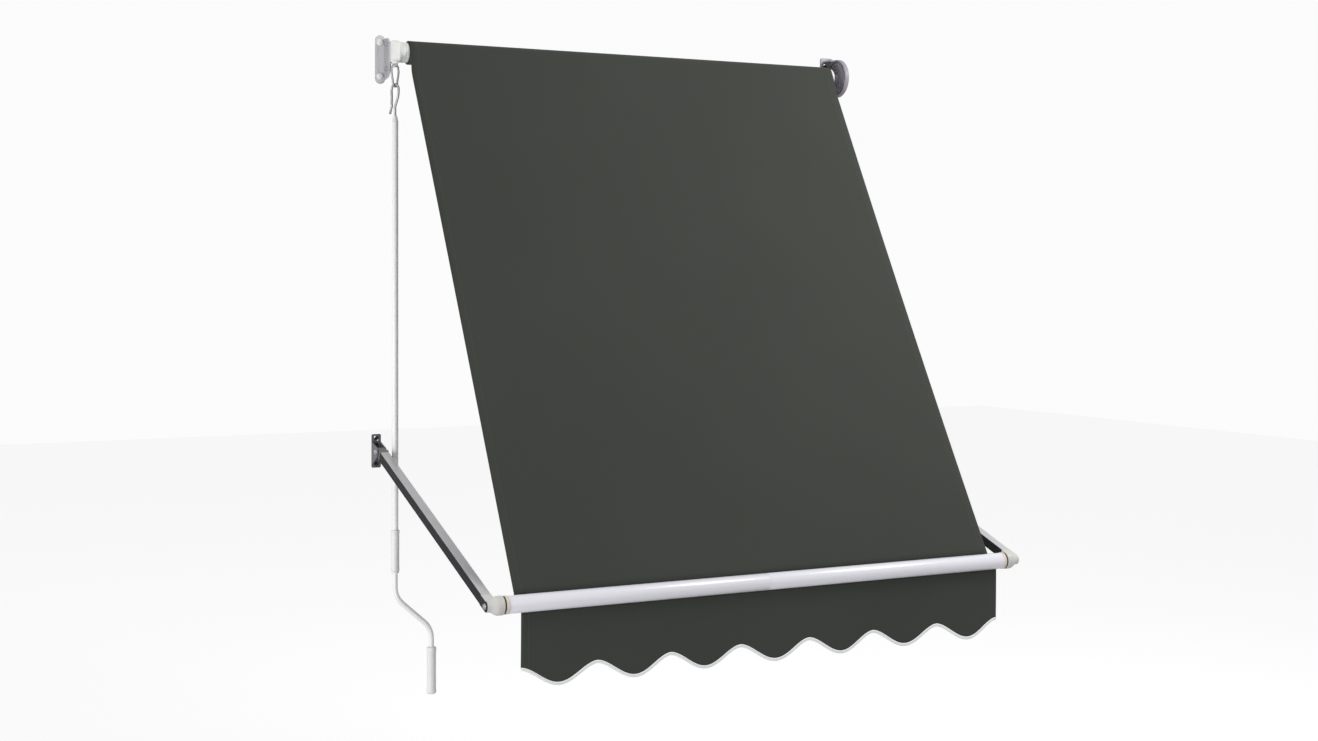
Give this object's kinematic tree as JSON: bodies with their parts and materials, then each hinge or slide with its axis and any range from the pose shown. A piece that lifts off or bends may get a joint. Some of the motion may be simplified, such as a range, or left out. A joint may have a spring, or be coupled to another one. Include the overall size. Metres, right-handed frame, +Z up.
{
  "type": "canvas awning",
  "caption": "Hand cranked window awning: cloth roller between wall brackets, worm gearbox, pivoting arms, round front bar and scalloped valance.",
  "frame": {"origin": "centre of the left roller bracket's back face, on the wall", "axes": "+X along the roller to the right, -Y out from the wall, +Z up"},
  "size_m": [1.5792, 0.9194, 1.8838],
  "materials": {
    "white_powder_coat": "satin",
    "white_moulding": "satin",
    "grey_casting": "satin",
    "aluminium": "satin",
    "steel": "brushed",
    "bronze": "machined",
    "canvas": "woven",
    "rubber": "matte",
    "cream_moulding": "satin"
  },
  "bodies": {
    "root": {"left_bracket": "grey_casting", "left_wall_bolt_upper": "white_powder_coat", "left_wall_bolt_lower": "white_powder_coat", "left_cheek_bolt_upper": "steel", "left_cheek_bolt_lower": "steel", "gearbox_housing": "white_moulding", "gearbox_cover": "white_moulding", "right_bracket": "grey_casting", "bearing_bush": "bronze", "left_arm_foot": "grey_casting", "left_pivot_bolt": "steel", "left_pivot_nut": "steel", "right_arm_foot": "grey_casting", "right_pivot_bolt": "steel", "right_pivot_nut": "steel", "canopy": "canvas"},
    "roller": {"worm_wheel": "bronze", "drive_shaft": "steel", "left_crown": "white_moulding", "roller_tube": "steel", "right_crown": "white_moulding", "wound_canvas": "canvas"},
    "winch": {"worm_shaft": "steel", "winch_eye": "white_powder_coat"},
    "front_frame": {"left_arm_lug": "grey_casting", "left_arm": "aluminium", "left_knuckle": "grey_casting", "left_knuckle_bolt": "steel", "right_arm_lug": "grey_casting", "right_arm": "aluminium", "right_knuckle": "grey_casting", "right_knuckle_bolt": "steel"},
    "bar": {"front_bar_left": "white_powder_coat", "front_bar_right": "white_powder_coat", "bar_joiner": "aluminium", "left_bar_cap": "cream_moulding", "right_bar_cap": "cream_moulding", "left_washer": "rubber", "right_washer": "rubber", "canopy_keder": "white_moulding", "valance_keder": "white_moulding", "valance": "canvas", "valance_binding": "white_moulding"},
    "crank": {"crank_hook": "steel", "crank_ferrule": "white_moulding", "crank_tube": "white_powder_coat", "sleeve_stop": "white_moulding", "crank_rod": "white_powder_coat"},
    "sleeve": {"crank_sleeve": "white_moulding"},
    "grip": {"crank_grip": "white_moulding"}
  },
  "joints": [
    {"name": "winch_turn", "type": "hinge", "parent": "root", "child": "winch", "pos_m": [0.0243, -0.0628, 0.018], "axis": [0, 0, 1], "continuous": true},
    {"name": "roller_turn", "type": "hinge", "parent": "root", "child": "roller", "pos_m": [0.75, -0.045, 0.018], "axis": [1, 0, 0], "continuous": true},
    {"name": "arm_swing", "type": "hinge", "parent": "root", "child": "front_frame", "pos_m": [0.75, -0.045, -1.108], "axis": [-1, 0, 0], "range_deg": [0, 100], "deforming": ["canopy"]},
    {"name": "bar_turn", "type": "hinge", "parent": "front_frame", "child": "bar", "pos_m": [0.75, -0.89589, -1.39817], "axis": [-1, 0, 0], "range_deg": [-100, 0]},
    {"name": "crank_swing", "type": "hinge", "parent": "winch", "child": "crank", "pos_m": [0.0243, -0.0628, -0.0816], "axis": [-0.9489, -0.3156, 0], "range_deg": [0, 18]},
    {"name": "sleeve_spin", "type": "hinge", "parent": "crank", "child": "sleeve", "pos_m": [0.0243, -0.0628, -1.39], "axis": [0, 0, 1], "continuous": true},
    {"name": "grip_spin", "type": "hinge", "parent": "crank", "child": "grip", "pos_m": [0.1313, -0.0628, -1.72], "axis": [0, 0, 1], "continuous": true}
  ],
  "couplings": [
    {"joint": "roller_turn", "follows": "winch_turn", "ratio": 0.071429},
    {"joint": "bar_turn", "follows": "arm_swing", "ratio": -1}
  ]
}
